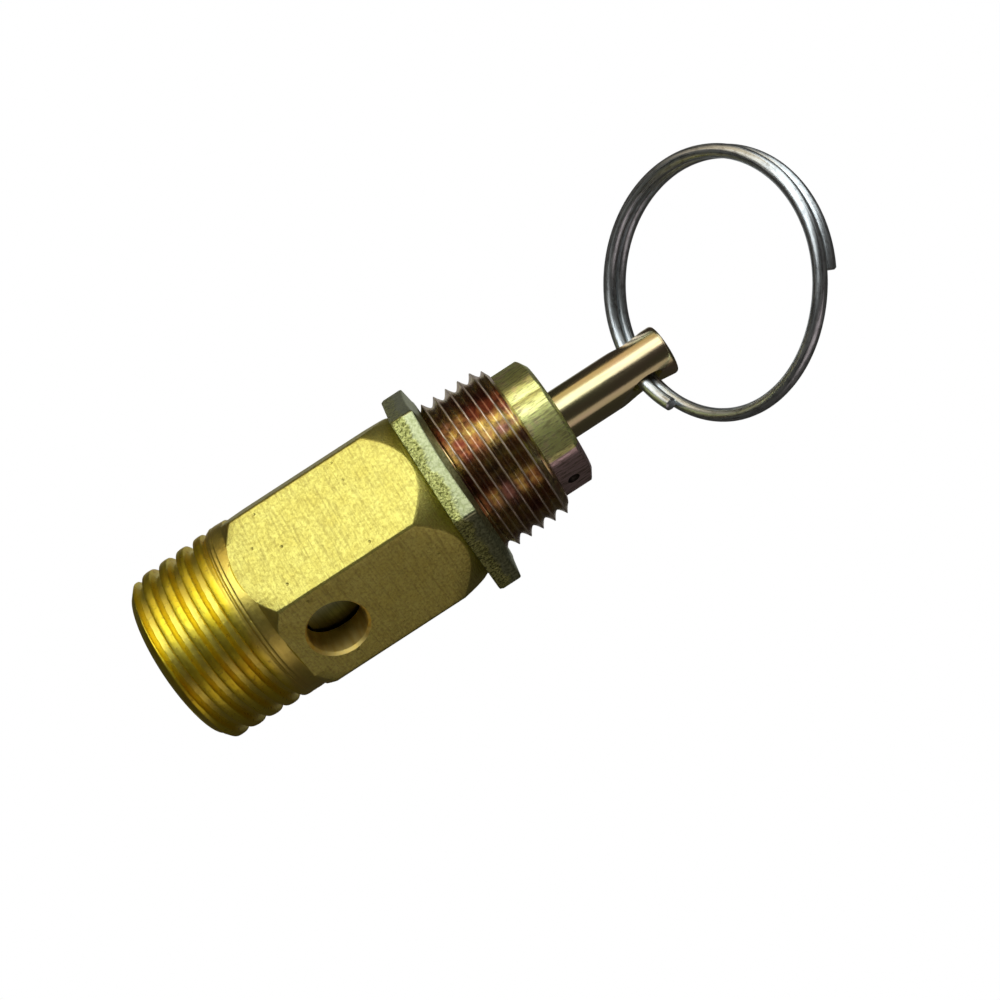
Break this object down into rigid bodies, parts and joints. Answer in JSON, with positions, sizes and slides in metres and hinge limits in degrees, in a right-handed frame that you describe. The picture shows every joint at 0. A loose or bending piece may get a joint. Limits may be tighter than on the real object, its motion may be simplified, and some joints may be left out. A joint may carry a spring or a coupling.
{
  "type": "pressure relief valve",
  "caption": "Small brass spring-loaded pressure relief valve with a male taper pipe thread, hexagon body, vent holes, adjusting screw, lock nut and pull ring.",
  "frame": {"origin": "centre of the inlet end face, on the valve's axis", "axes": "+Z along the valve's axis from the inlet towards the pull ring; -Y out of one vent hole"},
  "size_m": [0.0202, 0.0198, 0.0515],
  "materials": {
    "valve_body": "turned from hexagon bar, bright, light machining marks",
    "valve_seat": "turned, lapped lip",
    "seal_disc": "smooth",
    "seal_washer": "stamped",
    "seal_screw": "turned, slotted",
    "disc_holder": "turned, dulled",
    "stem_snap_ring": "spring steel",
    "lower_spring_washer": "stamped",
    "spring": "drawn wire",
    "upper_spring_washer": "stamped",
    "adjusting_screw": "dark coppery plating, bright on the hexagon",
    "lock_nut": "yellow zinc plating, drawn streaks",
    "lift_stem": "yellow zinc plating, turned",
    "pull_ring": "dark drawn wire"
  },
  "bodies": {
    "body": {"valve_body": "valve_body", "valve_seat": "valve_seat"},
    "plunger": {"disc_holder": "disc_holder", "seal_disc": "seal_disc", "seal_washer": "seal_washer", "seal_screw": "seal_screw", "stem_snap_ring": "stem_snap_ring", "lower_spring_washer": "lower_spring_washer", "spring": "spring"},
    "stem": {"lift_stem": "lift_stem"},
    "ring": {"pull_ring": "pull_ring"},
    "spring_stop": {"upper_spring_washer": "upper_spring_washer"},
    "screw": {"adjusting_screw": "adjusting_screw"},
    "nut": {"lock_nut": "lock_nut"}
  },
  "joints": [
    {"name": "plunger_lift", "type": "slide", "parent": "body", "child": "plunger", "axis": [0, 0, 1], "range_m": [0, 0.0015], "stiffness_N_per_m": 3000, "springref_m": -0.006, "deforming": ["spring"]},
    {"name": "stem_turn", "type": "hinge", "parent": "plunger", "child": "stem", "pos_m": [0, 0, 0.0124], "axis": [0, 0, 1], "continuous": true},
    {"name": "ring_swing", "type": "hinge", "parent": "stem", "child": "ring", "pos_m": [0, 0, 0.0382], "axis": [0.6018, -0.7986, 0], "range_deg": [-188, 101]},
    {"name": "screw_travel", "type": "slide", "parent": "body", "child": "spring_stop", "axis": [0, 0, 1], "range_m": [-0.002, 0.001]},
    {"name": "screw_turn", "type": "hinge", "parent": "spring_stop", "child": "screw", "pos_m": [0, 0, 0.0227], "axis": [0, 0, 1], "range_deg": [-720, 360]},
    {"name": "nut_turn", "type": "hinge", "parent": "body", "child": "nut", "pos_m": [0, 0, 0.02245], "axis": [0, 0, 1], "range_deg": [0, 720]}
  ],
  "couplings": [
    {"joint": "screw_travel", "follows": "screw_turn", "m_per_rad": 0.00015915}
  ]
}
